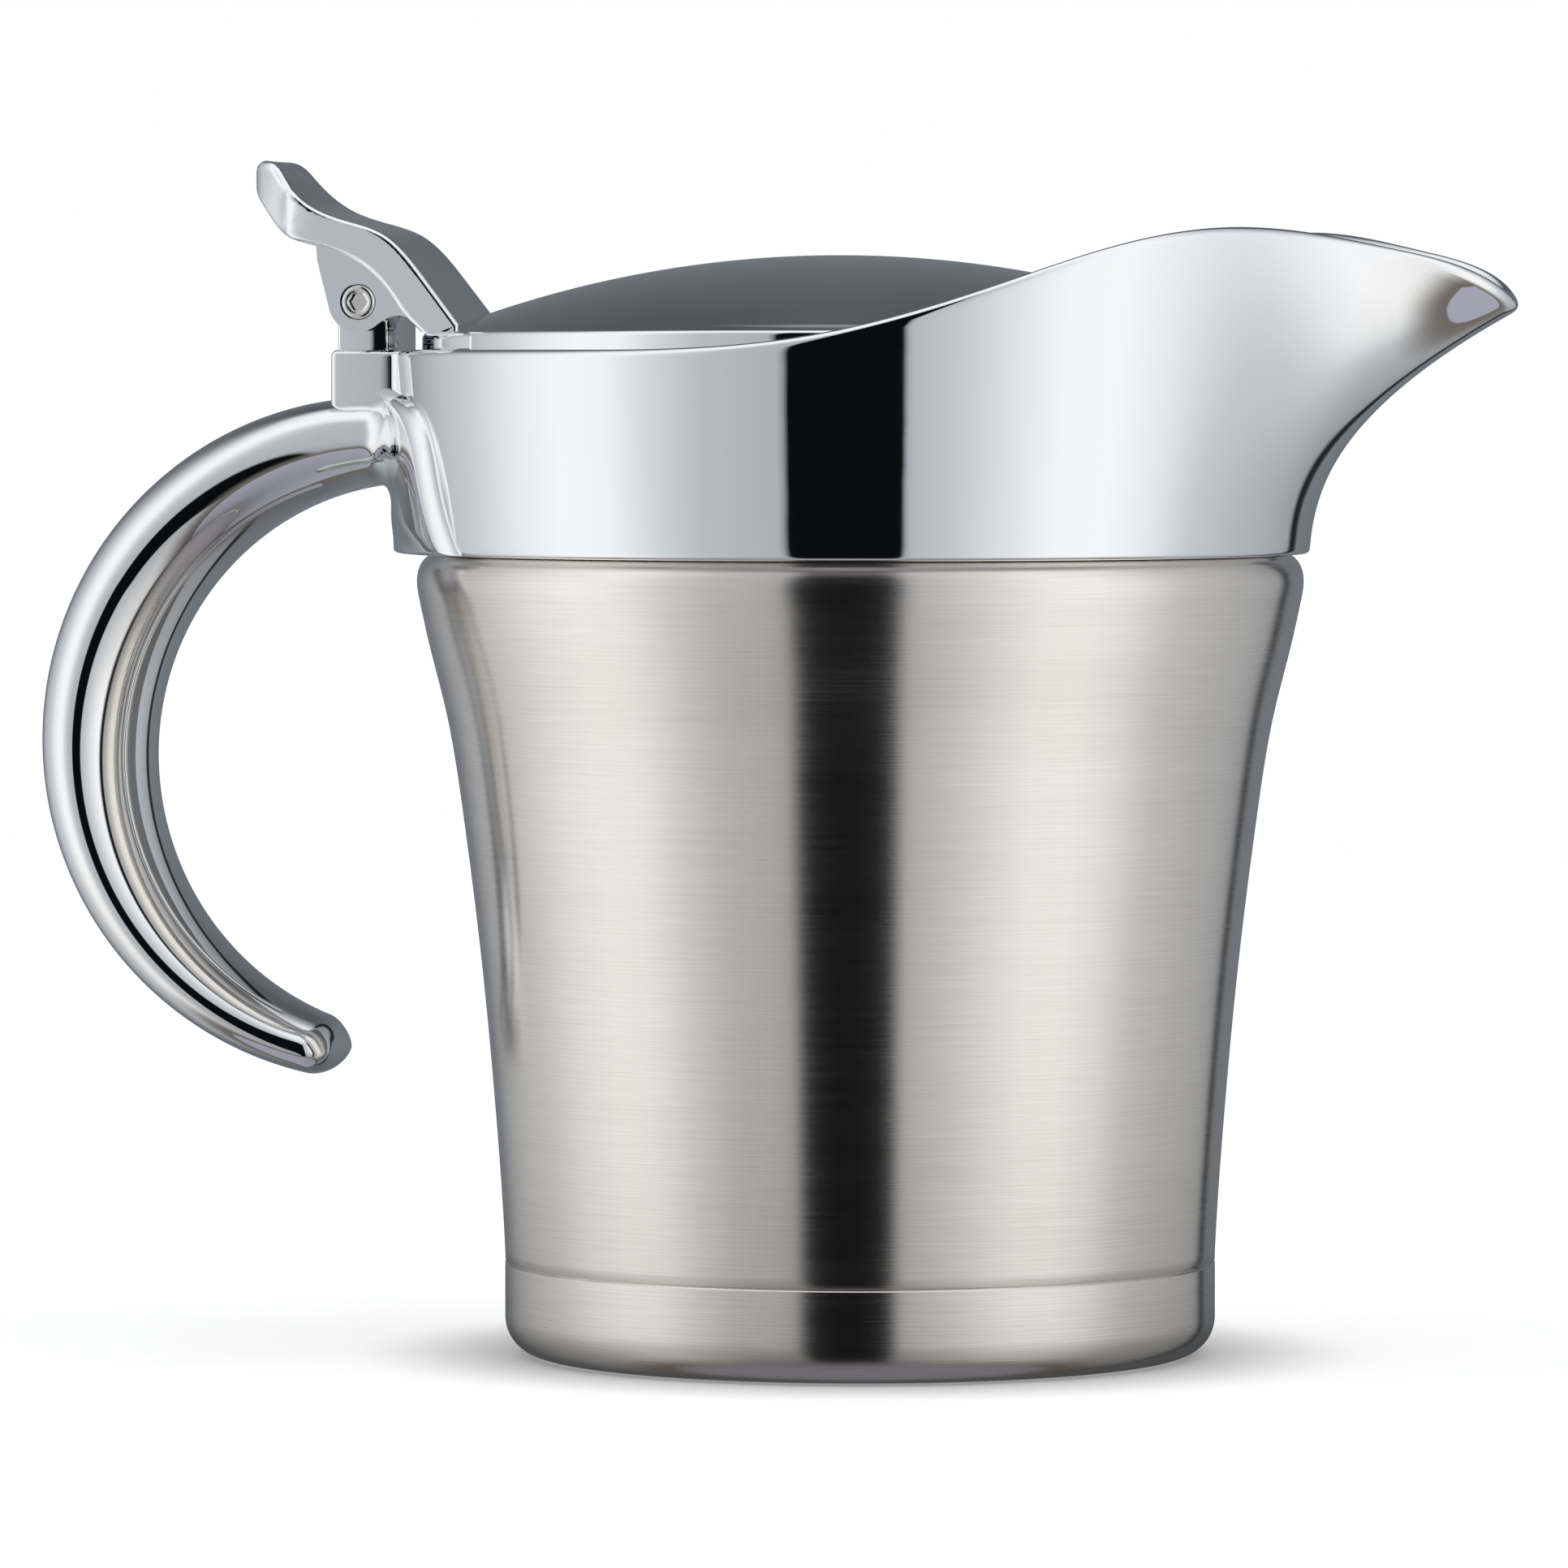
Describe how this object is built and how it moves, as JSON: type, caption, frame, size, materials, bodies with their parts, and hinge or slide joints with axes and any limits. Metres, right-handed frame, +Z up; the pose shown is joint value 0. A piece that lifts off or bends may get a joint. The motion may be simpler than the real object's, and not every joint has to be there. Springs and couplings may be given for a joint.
{
  "type": "insulated gravy boat",
  "caption": "Double-walled steel gravy boat with a flared brushed body, mirror-plated collar and spout, open hook handle and a thumb-lever hinged lid.",
  "frame": {"origin": "middle of the flat base, on the table", "axes": "+Z up along the vessel's axis, +X towards the pouring spout, -X towards the handle"},
  "size_m": [0.1799, 0.1112, 0.1435],
  "materials": {
    "brushed_steel": "fine horizontal brushing, satin",
    "plain_steel": "drawn, satin",
    "mirror_chrome": "mirror plating",
    "weld_metal": "dull bead",
    "silicone": "translucent white, matt",
    "liner_plastic": "fine moulded grain",
    "washer_plastic": "smooth",
    "foam": "cellular",
    "pin_steel": "turned, bright",
    "screw_steel": "turned, satin"
  },
  "bodies": {
    "vessel": {"outer_shell": "brushed_steel", "base_cup": "brushed_steel", "vacuum_bottom": "plain_steel", "port_seal": "weld_metal", "inner_vessel": "plain_steel", "getter": "weld_metal", "spout_collar": "mirror_chrome", "collar_seal": "silicone", "handle_shell": "mirror_chrome", "handle_cover": "mirror_chrome", "handle_screws": "screw_steel", "hinge_washers": "washer_plastic"},
    "lid": {"lid_dome": "mirror_chrome", "lid_liner": "liner_plastic", "lid_liner_screws": "screw_steel", "lid_insulation": "foam", "lid_seal": "silicone", "thumb_lever": "mirror_chrome", "lever_screws": "screw_steel", "hinge_barrel": "pin_steel", "hinge_screw": "pin_steel"}
  },
  "joints": [
    {"name": "lid_hinge", "type": "hinge", "parent": "vessel", "child": "lid", "pos_m": [-0.0595, 0, 0.1264], "axis": [0, -1, 0], "range_deg": [0, 85]}
  ]
}
